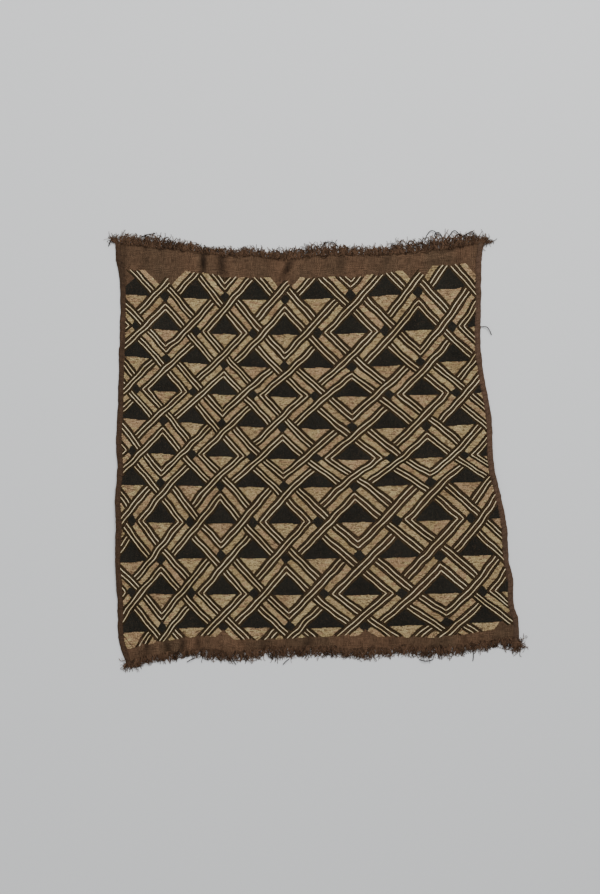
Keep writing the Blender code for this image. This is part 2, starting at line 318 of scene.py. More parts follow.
WHIP_RADIUS = (0.32, 0.5)

# The photograph's view: 600 by 894 pixels of 1.5 mm at the cloth
IMAGE_HEIGHT = 894
PIXEL = 1.5
LENS, SENSOR = 50.0, 36.0
CAMERA_X, CAMERA_Y = -25.5, 5.2

# Studio. A light has its name, its place and size in metres, and its power in watts.
FLOOR_HALF = 12000.0
FLOOR_DROP = 0.3  # the floor lies this far under the cloth
SURROUND = 0.5  # strength of the light that comes from all round
LIGHTS = [
    ("key", (0.8, 2.0, 2.1), 1.4, 64.0),
    ("fill", (-0.9, 0.3, 2.4), 2.2, 17.0),
]

# Weaves and threads: material name, dark and light end in sRGB, and thread width or roughness
WEAVES = {
    "ground": ("raffia_ground", (61, 46, 34), (114, 90, 70), 1.6),
    "roll_left": ("raffia_roll_left", (56, 42, 32), (92, 72, 56), 1.3),
    "roll_right": ("raffia_roll_right", (71, 55, 44), (108, 86, 71), 1.3),
}
THREADS = {
    "whip": ("raffia_whip", (44, 33, 25), (72, 56, 44), 0.85),
    "stray": ("raffia_stray", (34, 26, 21), (50, 39, 32), 0.85),
    "dark": ("thread_dark", (31, 23, 11), (56, 45, 27), 0.8),
    "cream": ("thread_cream", (200, 178, 130), (255, 239, 199), 0.6),
    "black": ("pile_black", (32, 31, 27), (51, 49, 43), 0.95),
    "straw": ("pile_straw", (158, 135, 91), (216, 197, 149), 0.75),
    "sand": ("pile_sand", (151, 127, 87), (208, 185, 141), 0.75),
    "rosy": ("pile_rosy", (149, 121, 87), (205, 175, 136), 0.75),
    "fringe": ("raffia_fringe", (24, 17, 12), (126, 97, 75), 0.85),
}
TAN_TONES = ("straw", "sand", "rosy")
# Patches of one tone: how many there are to a metre, and their share against the single thread's
PATCHES = {"straw": (26.0, 0.5), "sand": (26.0, 0.5), "rosy": (26.0, 0.5), "fringe": (60.0, 0.25)}
USUAL_PATCHES = (18.0, 0.5)
STREAKS, THREAD_GRAIN, BLOTCHES = 1400.0, 2200.0, 22.0  # to a metre


def from_knot(value, slope, step, t):
    """A knot's part in a smooth curve at share t of the way from it to its neighbour."""
    return value * (1 + 2 * t) * (1 - t) ** 2 + slope * step * t * (1 - t) ** 2


def curve_through(knots, values, at, pick):
    """A smooth curve through the knots' values, with straight lines past its ends. pick takes the
    value of one knot for each position."""
    slopes = np.gradient(values, knots, axis=0)
    held = np.clip(at, knots[0], knots[-1])
    low = np.clip(np.searchsorted(knots, held, side="right") - 1, 0, len(knots) - 2)
    step = knots[low + 1] - knots[low]
    t = (held - knots[low]) / step
    curve = from_knot(pick(values, low), pick(slopes, low), step, t)
    curve = curve + from_knot(pick(values, low + 1), -pick(slopes, low + 1), step, 1 - t)
    return curve + np.where(at < held, slopes[0], slopes[-1]) * (at - held)


def smooth_curve(table, at):
    """The value at each position, on a smooth curve through rows of position, value."""
    knots, values = np.array(table, float).T
    return curve_through(knots, values, np.asarray(at, float), np.take)


def ease(t):
    """0 to 1 with level ends."""
    t = np.clip(t, 0.0, 1.0)
    return t * t * (3 - 2 * t)


def hump(t):
    """1 at 0, falling smoothly to 0 at -1 and 1."""
    return 1 - ease(np.abs(t))


def humps(table, columns, x, y):
    """The sum of a table's long humps, each as high as the value in its last column."""
    total = np.zeros(np.broadcast(x, y).shape)
    for values in table:
        row = dict(zip(columns, values))
        angle = math.radians(row["angle"])
        dx = x - row["x"]
        dy = y - row["y"]
        along = dx * math.cos(angle) + dy * math.sin(angle)
        across = dy * math.cos(angle) - dx * math.sin(angle)
        shape = hump(along / row["half_length"]) * hump(across / row["half_width"])
        total += row[columns[-1]] * shape
    return total


def waves(x, y, length, seed):
    """Smooth unevenness from -1 to 1, about one wave for each length."""
    rng = np.random.default_rng(seed)
    total = np.zeros(np.broadcast(x, y).shape)
    for _ in range(6):
        angle = rng.uniform(0, 2 * math.pi)
        turn = 2 * math.pi / length * rng.uniform(0.7, 1.4)
        total += np.sin(turn * (x * math.cos(angle) + y * math.sin(angle)) + rng.uniform(0, 2 * math.pi))
    return total / 6 * 1.7


def unevenness(x, y, table):
    """The sum of a table's waves, given as length, size and seed."""
    return sum(size * waves(x, y, length, seed) for length, size, seed in table)


def left_side(y):
    return smooth_curve(LEFT_SIDE, y)


def right_side(y):
    return smooth_curve(RIGHT_SIDE, y)


def lift(x, y):
    """Height of the cloth's underside: the sum of its folds, held down at the two cut ends."""
    to_end = np.minimum(y - smooth_curve(BOTTOM_END, x), smooth_curve(TOP_END, x) - y)
    return humps(FOLDS + CREASES, FOLD_COLUMNS, x, y) * ease((to_end - END_FLAT) / END_EASE)


def ground_top(x, y):
    """Height of the woven ground's face, a little uneven."""
    return lift(x, y) + GROUND_THICK + unevenness(x, y, GROUND_WAVES)


def add_mesh(name, points, faces, material, body="root"):
    """A smooth-shaded piece from points in millimetres and arrays of faces of one size each."""
    mesh = bpy.data.meshes.new(name)
    points = np.asarray(points, np.float32).reshape(-1, 3) * MM
    loops = np.concatenate([np.asarray(part, np.int32).ravel() for part in faces])
    sizes = np.concatenate([np.full(len(part), np.asarray(part).shape[1], np.int32) for part in faces])
    mesh.vertices.add(len(points))
    mesh.vertices.foreach_set("co", points.ravel())
    mesh.loops.add(len(loops))
    mesh.loops.foreach_set("vertex_index", loops)
    mesh.polygons.add(len(sizes))
    mesh.polygons.foreach_set("loop_start", np.concatenate([[0], np.cumsum(sizes)[:-1]]).astype(np.int32))
    mesh.update(calc_edges=True)
    mesh.validate()
    mesh.shade_smooth()
    mesh.materials.append(material)
    item = bpy.data.objects.new(name, mesh)
    bpy.context.scene.collection.objects.link(item)
    if body:
        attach(item, body)
    return item


def linear(*srgb):
    """A colour given as 0 to 255 in sRGB, as the shader takes it."""
    part = np.array(srgb) / 255
    out = np.where(part <= 0.04045, part / 12.92, ((part + 0.055) / 1.055) ** 2.4)
    return (*(float(c) for c in out), 1.0)


def new_shader(name, roughness):
    material = bpy.data.materials.new(name)
    material.use_nodes = True
    tree = material.node_tree
    shader = tree.nodes["Principled BSDF"]
    shader.inputs["Roughness"].default_value = roughness
    shader.inputs["Specular IOR Level"].default_value = 0.12
    return material, tree, shader


def add_node(tree, kind, **inputs):
    """A node with its inputs linked to sockets or set to values."""
    node = tree.nodes.new(f"ShaderNode{kind}")
    for key, value in inputs.items():
        if isinstance(value, bpy.types.NodeSocket):
            tree.links.new(value, node.inputs[key])
        else:
            node.inputs[key].default_value = value
    return node


def noise(tree, scale, detail, stretch=(1, 1, 1)):
    """A noise value in the cloth's own coordinates, with its scale in turns for each metre."""
    place = add_node(tree, "TexCoord").outputs["Object"]
    place = add_node(tree, "Mapping", Vector=place, Scale=stretch).outputs["Vector"]
    return add_node(tree, "TexNoise", Vector=place, Scale=scale, Detail=detail).outputs["Fac"]


def ramp(tree, value, low, high, low_at=0.3, high_at=0.7):
    """A blend from one colour to another as the value rises."""
    node = add_node(tree, "ValToRGB", Fac=value)
    for stop, colour, at in zip(node.color_ramp.elements, (low, high), (low_at, high_at)):
        stop.position = at
        stop.color = colour
    return node.outputs["Color"]


def blend_colours(tree, kind, share, first, second):
    node = add_node(tree, "Mix")
    node.data_type = "RGBA"
    node.blend_type = kind
    node.inputs["Factor"].default_value = share
    tree.links.new(first, node.inputs["A"])
    tree.links.new(second, node.inputs["B"])
    return node.outputs["Result"]


def choose(tree, share, first, second):
    """A value between two others."""
    node = add_node(tree, "Mix")
    tree.links.new(share, node.inputs[0])
    tree.links.new(first, node.inputs[2])
    tree.links.new(second, node.inputs[3])
    return node.outputs[0]


def bump(tree, shader, value, strength, distance):
    node = add_node(tree, "Bump", Strength=strength, Distance=distance, Height=value)
    tree.links.new(node.outputs["Normal"], shader.inputs["Normal"])


def thread_material(name, dark, light, roughness, patch, patchy):
    """Raffia thread: every stitch has its own tone, in patches, with fine lengthwise streaks."""
    material, tree, shader = new_shader(name, roughness)
    island = add_node(tree, "NewGeometry").outputs["Random Per Island"]
    each = ramp(tree, island, dark, light, 0.0, 1.0)
    patches = ramp(tree, noise(tree, patch, 2.0), dark, light)
    mixed = blend_colours(tree, "MIX", patchy, each, patches)
    streaks = ramp(tree, noise(tree, STREAKS, 2.0), (0.72, 0.72, 0.72, 1), (1, 1, 1, 1), 0.25, 0.6)
    tree.links.new(blend_colours(tree, "MULTIPLY", 0.6, mixed, streaks), shader.inputs["Base Color"])
    bump(tree, shader, noise(tree, THREAD_GRAIN, 1.0), 0.5, 0.0002)
    return material


def weave_material(name, dark, light, thread, fold_shaded):
    """Plain weave: unevenly dyed threads that pass over and under each other, with painted shade at each
    thread's edges and painted highlight on its crown.
    """
    material, tree, shader = new_shader(name, 0.88)
    turns = 1 / (thread * MM)
    place = add_node(tree, "TexCoord").outputs["Object"]
    share = add_node(tree, "TexChecker", Vector=place, Scale=turns).outputs["Fac"]
    ridges = []
    for direction in ("X", "Y"):
        wave = add_node(tree, "TexWave", Vector=place, Scale=turns * math.pi / 10, Distortion=0.5)
        wave.bands_direction = direction
        wave.inputs["Detail Scale"].default_value = 0.4
        ridges.append(wave.outputs["Fac"])
    tones = [noise(tree, turns, 2.0, stretch) for stretch in ((1, 0.16, 1), (0.16, 1, 1))]
    ridge = choose(tree, share, *ridges)
    tone = ramp(tree, choose(tree, share, *tones), dark, light, 0.3, 0.7)
    # Painted shade and painted highlight: each thread is darker at its edges and lighter on its crown, as
    # light falls on its round.
    painted_thread_shade = ramp(tree, ridge, (0.42, 0.4, 0.38, 1), (1.16, 1.16, 1.16, 1), 0.0, 0.6)
    blotches = noise(tree, BLOTCHES, 4.0, (1, 0.4, 1))
    patches = ramp(tree, blotches, (0.82, 0.84, 0.82, 1), (1.11, 1.04, 1.0, 1), 0.36, 0.64)
    colour = blend_colours(tree, "MULTIPLY", 0.85, tone, painted_thread_shade)
    colour = blend_colours(tree, "MULTIPLY", 1.0, colour, patches)
    # painted shade in the hems' creases and painted highlight on their ridges, from the ground's colour
    # layer
    if fold_shaded:
        fold_shading = add_node(tree, "Attribute")
        fold_shading.attribute_name = FOLD_SHADING_LAYER
        colour = blend_colours(tree, "MULTIPLY", 1.0, colour, fold_shading.outputs["Color"])
    tree.links.new(colour, shader.inputs["Base Color"])
    bump(tree, shader, ridge, 0.7, 0.0005)
    return material


def make_materials():
    """Every material by its key in the tables."""
    materials = {}
    for key, (name, dark, light, thread) in WEAVES.items():
        materials[key] = weave_material(name, linear(*dark), linear(*light), thread, key == "ground")
    for key, (name, dark, light, roughness) in THREADS.items():
        patches = PATCHES.get(key, USUAL_PATCHES)
        materials[key] = thread_material(name, linear(*dark), linear(*light), roughness, *patches)
    return materials


def grid_faces(rows, columns, first=0):
    """Quads of a grid of points stored row by row, facing up when x runs along a row."""
    r, c = np.meshgrid(np.arange(rows - 1), np.arange(columns - 1), indexing="ij")
    corner = (first + r * columns + c).ravel()
    return np.stack([corner, corner + 1, corner + columns + 1, corner + columns], axis=1)


def rim_of(rows, columns):
    """The grid's outer points, in order round it."""
    grid = np.arange(rows * columns).reshape(rows, columns)
    return np.concatenate([grid[0], grid[1:, -1], grid[-1, -2::-1], grid[-2:0:-1, 0]])


def make_ground(material):
    """The woven panel as one thin closed sheet, under the embroidery and the rolled hems."""
    x_low, x_high = (
        np.linspace(LEFT_SIDE[i][1] + ROLL_UNDER, RIGHT_SIDE[i][1] - ROLL_UNDER, GROUND_COLUMNS)
        for i in (0, -1)
    )
    levels = [smooth_curve(table, x_low) for table in (BOTTOM_END, FIELD_BOTTOM)]
    levels += [smooth_curve(table, x_high) for table in (FIELD_TOP, TOP_END)]
    lines = [levels[0]]
    for low, high, rows in zip(levels, levels[1:], GROUND_ROWS):
        lines += [low + t * (high - low) for t in np.linspace(0, 1, rows + 1)[1:]]
    y = np.array(lines)
    across = np.linspace(0, 1, GROUND_COLUMNS)
    left = left_side(y[:, 0])[:, None] + ROLL_UNDER
    right = right_side(y[:, -1])[:, None] - ROLL_UNDER
    x = left + across * (right - left)
    over = np.stack([x, y, ground_top(x, y)], axis=2).reshape(-1, 3)
    under = np.stack([x, y, lift(x, y)], axis=2).reshape(-1, 3)
    rows, columns = x.shape
    count = rows * columns
    rim = rim_of(rows, columns)
    after = np.roll(rim, -1)
    wall = np.stack([rim + count, after + count, after, rim], axis=1)
    faces = [grid_faces(rows, columns), grid_faces(rows, columns, count)[:, ::-1], wall]
    item = add_mesh("ground_weave", np.concatenate([over, under]), faces, material)
    # Painted shade in the creases and painted highlight on the ridges, as a colour factor for each point
    tone = np.tile(1 - humps(PAINTED_FOLD_SHADING, FOLD_SHADING_COLUMNS, x, y).ravel(), 2)
    layer = item.data.color_attributes.new(FOLD_SHADING_LAYER, "FLOAT_COLOR", "POINT")
    layer.data.foreach_set("color", np.repeat(tone, 4).astype(np.float32))
    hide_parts("cloth")
    return item


def lattice_place(a, b):
    """Where lattice points lie on the cloth. a counts up to the right and b down to the right."""
    a, b = np.asarray(a, float), np.asarray(b, float)
    column, row = (a + b) / 2, b - a
    x_knots = [smooth_curve(list(enumerate(line)), column) for line in CELL_X]
    x = curve_between(CELL_X_ROWS, x_knots, row)
    middles = list(zip(*CELL_Y))
    y_knots = [smooth_curve(list(enumerate(line)), row) for line in middles]
    y = curve_between(CELL_Y_COLUMNS, y_knots, column) + SPLIT_DROP
    x = x + unevenness(x, y, HAND_WAVES_X)
    return x, y + unevenness(x, y, HAND_WAVES_Y)


def curve_between(knots, values, at):
    """A smooth curve through several arrays of values, one for each knot."""

    def pick(arrays, index):
        return np.take_along_axis(arrays, index[None, ...], axis=0)[0]

    return curve_through(np.array(knots), np.array(values), at, pick)


def turn_cells():
    """Every turn cell as its lattice place and whether its bands turn at its top and bottom."""
    cells = []
    for row in range(-1, LAST_ROW + 2, 2):
        for k in range(FIRST_COLUMN, LAST_COLUMN + 1):
            column = k + 0.5
            upright = (k + (row - 1) // 2) % 2 == 0
            cells.append((column - row / 2, column + row / 2, upright, row))
    return cells


def band_paths(m, n, upright):
    """The two bands of a turn cell, cut where they pass under others, as lattice corner points."""
    r, w = RING, BAND_HALF
    f = 1 if upright else -1
    return [
        [(m - f - f * r + f * w, n - r), (m + f * r, n - r), (m + f * r, n + r - w)],
        [(m + f * r, n + r + w), (m + f * r, n + 1 + r - w)],
        [(m - f * r, n - 1 - r + w), (m - f * r, n - r - w)],
        [(m - f * r, n - r + w), (m - f * r, n + r), (m + f + f * r - f * w, n + r)],
    ]


def offset_path(path, offset):
    """The path moved sideways, with a mitre at its turn."""
    points = np.array(path, float)
    ahead = np.diff(points, axis=0)
    ahead /= np.abs(ahead).sum(axis=1, keepdims=True)
    side = np.stack([-ahead[:, 1], ahead[:, 0]], axis=1)
    moved = points.copy()
    moved[0] += offset * side[0]
    moved[-1] += offset * side[-1]
    if len(points) == 3:
        moved[1] += offset * (side[0] + side[1])
    return moved


def bare_places(a, b):
    """True where the embroidery leaves the ground bare: notches at the first and last rows."""
    bare = np.zeros(np.shape(a), bool)
    reach = RING + BAND_HALF
    for m, n, upright, row in turn_cells():
        inside = (np.abs(a - m) < reach) & (np.abs(b - n) < reach)
        if row < 0 and not upright:
            crossing = (a - m < BAND_HALF - RING) & (b - n > RING - BAND_HALF)
            bare |= inside & ~crossing
        if row > LAST_ROW and upright:
            bare |= inside
    return bare | unsewn(a, b)


def unsewn(a, b):
    """True where lattice points lie in one of the places that were never sewn."""
    found = np.zeros(np.shape(a), bool)
    for low_a, high_a, low_b, high_b in UNSEWN:
        found |= (a > low_a) & (a < high_a) & (b > low_b) & (b < high_b)
    return found


def in_field(x, y):
    """True where the cloth is embroidered."""
    low, high = smooth_curve(FIELD_BOTTOM, x), smooth_curve(FIELD_TOP, x)
    side = ROLL_WIDTH - SEWN_UNDER
    return (y > low) & (y < high) & (x > left_side(y) + side) & (x < right_side(y) - side)


def along(points, at):
    """Points at the given distances along a line of points."""
    steps = np.hypot(*np.diff(points, axis=0).T)
    reach = np.concatenate([[0], np.cumsum(steps)])
    return np.stack([np.interp(at, reach, points[:, 0]), np.interp(at, reach, points[:, 1])], axis=1)


def stem_stitches(leg, pitch, rng):
    """Stitches laid end over end along a straight leg between two lattice points."""
    count = max(2, int(np.abs(leg[1] - leg[0]).max() / PATH_STEP))
    share = np.linspace(0, 1, count + 1)[:, None]
    lattice = leg[0] + share * (leg[1] - leg[0])
    x, y = lattice_place(lattice[:, 0], lattice[:, 1])
    points = np.stack([x, y], axis=1)
    total = np.hypot(*np.diff(points, axis=0).T).sum()
    stitches = max(1, round(total / pitch))
    edges = np.linspace(0, total, stitches + 1)
    edges[1:-1] += pitch * STITCH_SPREAD * rng.uniform(-1, 1, stitches - 1)
    start = along(points, np.maximum(edges[:-1] - STITCH_OVERLAP * pitch, 0))
    end = along(points, np.minimum(edges[1:] + STITCH_OVERLAP * pitch, total))
    middle_share = (edges[:-1] + edges[1:])[:, None] / 2 / total
    middle = leg[0] + middle_share * (leg[1] - leg[0])
    return start, end, middle


def stitch_shells(start, end, width, height, base):
    """Each stitch as a low ridge with pointed ends: its points and faces."""
    count = len(start)
    ahead = end - start
    size = np.maximum(np.hypot(ahead[:, 0], ahead[:, 1]), 1e-6)[:, None]
    side = np.stack([-ahead[:, 1], ahead[:, 0]], axis=1) / size * width[:, None] / 2
    points = np.zeros((count, 8, 3))
    points[:, 0, :2], points[:, 7, :2] = start, end
    for slot, share in zip((1, 4), STITCH_SHOULDERS):
        centre = start + share * ahead
        points[:, slot, :2] = centre + side
        points[:, slot + 1, :2] = centre
        points[:, slot + 2, :2] = centre - side
    points[:, :, 2] = base[:, None] - STITCH_SUNK
    points[:, (0, 7), 2] = base[:, None] + STITCH_TIP * height[:, None]
    points[:, (2, 5), 2] = base[:, None] + height[:, None]
    first = (np.arange(count) * 8)[:, None]
    threes = [(0, 2, 1), (0, 3, 2), (4, 5, 7), (5, 6, 7)]
    fours = [(1, 2, 5, 4), (2, 3, 6, 5)]
    tri = np.concatenate([first + np.array([f]) for f in threes])
    quad = np.concatenate([first + np.array([f]) for f in fours])
    return points.reshape(-1, 3), [tri, quad]


def add_stitches(name, start, end, width, height, material):
    middle = (start + end) / 2
    base = ground_top(middle[:, 0], middle[:, 1])
    points, faces = stitch_shells(start, end, width, height, base)
    item = add_mesh(name, points, faces, material)
    return item


def make_bands(materials):
    """Every band's rows of stem stitch, the dark and the cream ones as a piece each."""
    rng = np.random.default_rng(BAND_SEED)
    laid = {"dark": [], "cream": []}
    paths = [path for m, n, upright, _ in turn_cells() for path in band_paths(m, n, upright)]
    for path in paths + CORNER_BANDS:
        for offset, width, height, thread in BAND_ROWS:
            for side in (-1, 1):
                moved = offset_path(path, side * offset)
                for leg in zip(moved[:-1], moved[1:]):
                    start, end, middle = stem_stitches(leg, STITCH_PITCH[thread], rng)
                    x, y = (start + end).T / 2
                    reach = 0.3 * np.abs(end - start)[:, 1]
                    keep = in_field(x, y - reach) & in_field(x, y + reach)
                    if path not in CORNER_BANDS:
                        keep &= ~bare_places(middle[:, 0], middle[:, 1])
                    sizes = np.full((keep.sum(), 2), (width, height))
                    laid[thread].append(np.hstack([start[keep], end[keep], sizes]))
    for thread, slot in (("dark", "line_dark"), ("cream", "line_cream")):
        rows = np.concatenate(laid[thread])
        ahead = rows[:, 2:4] - rows[:, :2]
        size = np.maximum(np.hypot(*ahead.T), 1e-6)[:, None]
        slant = np.stack([-ahead[:, 1], ahead[:, 0]], axis=1) / size * STITCH_SLANT
        jitter = rng.uniform(0.9, 1.1, (len(rows), 2))
        start, end = rows[:, :2] + slant, rows[:, 2:4] - slant
        width, height = (rows[:, 4:] * jitter).T
        add_stitches(f"stem_stitch_{thread}", start, end, width, height, materials[thread])


def fill_rows(corners, pile, upright, ragged, rng):
    """Rows of pile stitches across a convex patch given by its lattice corners.
    Returns their ends; the rows run across the cloth, or up it where upright is true."""
    corners = np.array(corners, float)
    share = np.arange(SIDE_POINTS)[:, None] / SIDE_POINTS
    sides = zip(corners, np.roll(corners, -1, axis=0))
    x, y = lattice_place(*np.concatenate([here + share * (there - here) for here, there in sides]).T)
    run, step = (y, x) if upright else (x, y)
    run_next, step_next = np.roll(run, -1), np.roll(step, -1)
    pitch, length, _, _ = pile
    starts, ends = [], []
    for level in np.arange(math.ceil(step.min() / pitch) * pitch, step.max(), pitch):
        cross = (step - level) * (step_next - level) < 0
        if cross.sum() < 2:
            continue
        part = (level - step[cross]) / (step_next[cross] - step[cross])
        at = run[cross] + part * (run_next[cross] - run[cross])
        low = at.min() + ragged * rng.uniform(-1, 1)
        high = at.max() + ragged * rng.uniform(-1, 1)
        if high - low < SHORTEST_ROW:
            continue
        count = max(1, round((high - low) / length))
        edges = np.linspace(low, high, count + 1)
        edges[1:-1] += length * PILE_SPREAD * rng.uniform(-1, 1, count - 1)
        lean = pitch * PILE_LEAN * rng.uniform(-1, 1, (2, count))
        first = edges[:-1] - PILE_OVERLAP * length * (edges[:-1] > low)
        order = (1, 0) if upright else (0, 1)
        starts.append(np.stack([first, level + lean[0]], axis=1)[:, order])
        ends.append(np.stack([edges[1:], level + lean[1]], axis=1)[:, order])
    if not starts:
        return np.zeros((0, 2)), np.zeros((0, 2))
    return np.concatenate(starts), np.concatenate(ends)


def cell_point(m, n, across, up):
    """The lattice point that lies so far across and up from a cell's middle."""
    return m + across + up, n + across - up


def black_patches():
    """The upper half of every cell, and the diamonds at the corners of the turn cells."""
    patches = []
    drop = SPLIT_DROP / UNIT
    for m, n in plain_and_turn_cells():
        reach = INNER - BLACK_INSET
        shape = [(drop - reach, -drop), (-reach, 0), (0, reach), (reach, 0), (reach - drop, -drop)]
        patches.append([cell_point(m, n, across, up) for across, up in shape])
    near, far = DIAMOND_NEAR, DIAMOND_FAR
    for m, n, upright, _ in turn_cells():
        if not upright:
            continue
        for up_a, up_b, a_span, b_span in (
            (0.5, -0.5, (-far, near), (-near, far)),
            (-0.5, 0.5, (-near, far), (-far, near)),
            (-0.5, -0.5, (-far, near), (-far, near)),
            (0.5, 0.5, (-near, far), (-near, far)),
        ):
            patches.append(blunt_square(m + up_a, n + up_b, a_span, b_span))
    return patches


def blunt_square(a, b, a_span, b_span):
    """A square of pile with its four corners cut off."""
    cut = DIAMOND_CUT
    low_a, high_a = a + a_span[0], a + a_span[1]
    low_b, high_b = b + b_span[0], b + b_span[1]
    return [
        (low_a + cut, low_b), (high_a - cut, low_b), (high_a, low_b + cut), (high_a, high_b - cut),
        (high_a - cut, high_b), (low_a + cut, high_b), (low_a, high_b - cut), (low_a, low_b + cut),
    ]


def plain_and_turn_cells():
    """Lattice places of all the cells that are filled."""
    cells = []
    for row in range(LAST_ROW + 1):
        for k in range(FIRST_COLUMN, LAST_COLUMN + 1):
            column = k + 0.5 * (row % 2)
            cells.append((column - row / 2, column + row / 2))
    return cells


def tan_patches():
    """The lower half of every cell, and the strips between the cells' bands."""
    patches = []
    drop = SPLIT_DROP / UNIT
    reach = INNER - TAN_INSET
    for m, n in plain_and_turn_cells():
        shape = [(drop - reach, -drop), (0, -reach), (reach - drop, -drop)]
        patches.append([cell_point(m, n, across, up) for across, up in shape])
    half, cut, far = STRIP_HALF, INNER, STRIP_END
    for m, n, upright, _ in turn_cells():
        near_end, far_end = (-cut, far) if upright else (-far, cut)
        up_left = (m + near_end, m + far_end)
        down_right = (m - far_end, m - near_end)
        for side, span in ((-0.5, up_left), (0.5, down_right)):
            patches.append(strip_corners(span, n + side, half, False))
        up_right = (n - far_end, n - near_end)
        down_left = (n + near_end, n + far_end)
        for side, span in ((0.5, up_right), (-0.5, down_left)):
            patches.append(strip_corners(span, m + side, half, True))
    sewn = [patch for patch in patches if not unsewn(*np.mean(patch, axis=0))]
    return sewn + [CORNER_FILL]


def strip_corners(span, middle, half, down):
    """Corners of a strip along one lattice direction; down is for those down to the right."""
    low, high = span
    corners = [(low, middle - half), (high, middle - half), (high, middle + half), (low, middle + half)]
    return [(q, p) for p, q in corners] if down else corners


def make_pile(slot, patches, pile, upright, tones, ragged, thin_share, seed):
    """Fills the patches with rows of pile whose tone drifts, as a piece for each tone."""
    rng = np.random.default_rng(seed)
    laid = [[] for _ in tones]
    for corners in patches:
        start, end = fill_rows(corners, pile, upright, ragged, rng)
        x, y = (start + end).T / 2
        drift = rng.uniform(0, len(tones)) + TONE_DRIFT * waves(0.3 * x, y, TONE_WAVE, seed)
        tone = np.floor(drift).astype(int) % len(tones)
        for i, rows in enumerate(laid):
            rows.append(np.hstack([start, end])[tone == i])
    for (tone, material), rows in zip(tones, laid):
        rows = np.concatenate(rows)
        x, y = (rows[:, :2] + rows[:, 2:]).T / 2
        rows = rows[in_field(x, y) & ~on_bare_ground(x, y)]
        count = len(rows)
        size = np.where(rng.uniform(0, 1, count) < thin_share, THIN_SIZE, 1.0)
        width, height = pile[2:]
        width = width * size * rng.uniform(0.85, 1.15, count)
        height = height * size * rng.uniform(0.75, 1.2, count)
        add_stitches(f"{slot}_{tone}", rows[:, :2], rows[:, 2:], width, height, material)


def on_bare_ground(x, y):
    """True where a point on the cloth lies in a bare notch, found from the notches' outlines."""
    bare = np.zeros(np.shape(x), bool)
    reach = RING + BAND_HALF
    for m, n, upright, row in turn_cells():
        if 0 < row <= LAST_ROW or upright == (row < 0):
            continue
        corner_x, corner_y = lattice_place(
            np.array([m + reach, m + reach, m - reach, m - reach]),
            np.array([n - reach, n + reach, n + reach, n - reach]),
        )
        inside = np.ones(np.shape(x), bool)
        for i in range(4):
            j = (i + 1) % 4
            turn = (corner_x[j] - corner_x[i]) * (y - corner_y[i])
            turn = turn - (corner_y[j] - corner_y[i]) * (x - corner_x[i])
            inside &= turn < 0
        bare |= inside
    return bare


def roll_section(side, y):
    """A rolled hem's middle line, width and height along the cloth, a little lumpy."""
    edge = left_side(y) if side < 0 else right_side(y)
    middle = edge - side * ROLL_WIDTH / 2 + unevenness(y, side, ROLL_SWAY)
    width = ROLL_WIDTH + unevenness(y, side, ROLL_WIDTH_WAVES)
    return middle, width, ROLL_HEIGHT + unevenness(y, side, ROLL_HEIGHT_WAVES)


def roll_face(turn):
    """Height of a roll's face at a turn round it, as a share of its own."""
    return ROLL_EDGE + (1 - ROLL_EDGE) * np.sin(turn) ** ROLL_ROUND


def make_roll(name, side, material):
    """A rolled side hem: a low tube that follows the cloth's edge."""
    table = LEFT_SIDE if side < 0 else RIGHT_SIDE
    y = np.linspace(table[0][0], table[-1][0], ROLL_STATIONS)
    middle, width, height = roll_section(side, y)
    base = lift(middle, y)
    points = []
    for turn in np.linspace(math.pi, 0, ROLL_SIDES):
        x = middle + side * math.cos(turn) * width / 2
        points.append(np.stack([x, y, base + height * roll_face(turn)], axis=1))
    for share in (ROLL_BASE, -ROLL_BASE):
        points.append(np.stack([middle + side * share * width, y, base], axis=1))
    ring = np.array(points)
    rows, columns = ring.shape[:2]
    faces = []
    for i in range(rows):
        here = i * columns + np.arange(columns - 1)
        after = (i + 1) % rows * columns + np.arange(columns - 1)
        faces.append(np.stack([here, here + 1, after + 1, after], axis=1))
    quads = np.concatenate(faces)
    first = np.arange(rows) * columns
    caps = np.array([first, first[::-1] + columns - 1])
    if side > 0:
        quads, caps = quads[:, ::-1], caps[:, ::-1]
    item = add_mesh(name, ring.reshape(-1, 3), [quads, caps], material)
    return item


def make_whipping(material):
    """The slanted stitches that hold the side hems down."""
    rng = np.random.default_rng(WHIP_SEED)
    paths = []
    for side, table in ((-1, LEFT_SIDE), (1, RIGHT_SIDE)):
        start = np.arange(table[0][0] + WHIP_END, table[-1][0] - WHIP_END, WHIP_PITCH)
        start = start + WHIP_SPREAD * rng.uniform(-1, 1, len(start))
        steps = np.linspace(0, 1, WHIP_POINTS)
        y = start[:, None] + WHIP_SLANT * steps
        middle, width, height = roll_section(side, y)
        turn = math.pi * (1 - WHIP_TURN * steps)
        x = middle + side * np.cos(turn) * width * WHIP_OUT
        z = lift(middle, y) + height * (WHIP_UP + roll_face(turn))
        paths.append(np.stack([x, y, z], axis=2))
    path = np.concatenate(paths)
    points, faces = fibre_tubes(path, rng.uniform(*WHIP_RADIUS, len(path)))
    item = add_mesh("hem_stitches", points, faces, material)
    return item


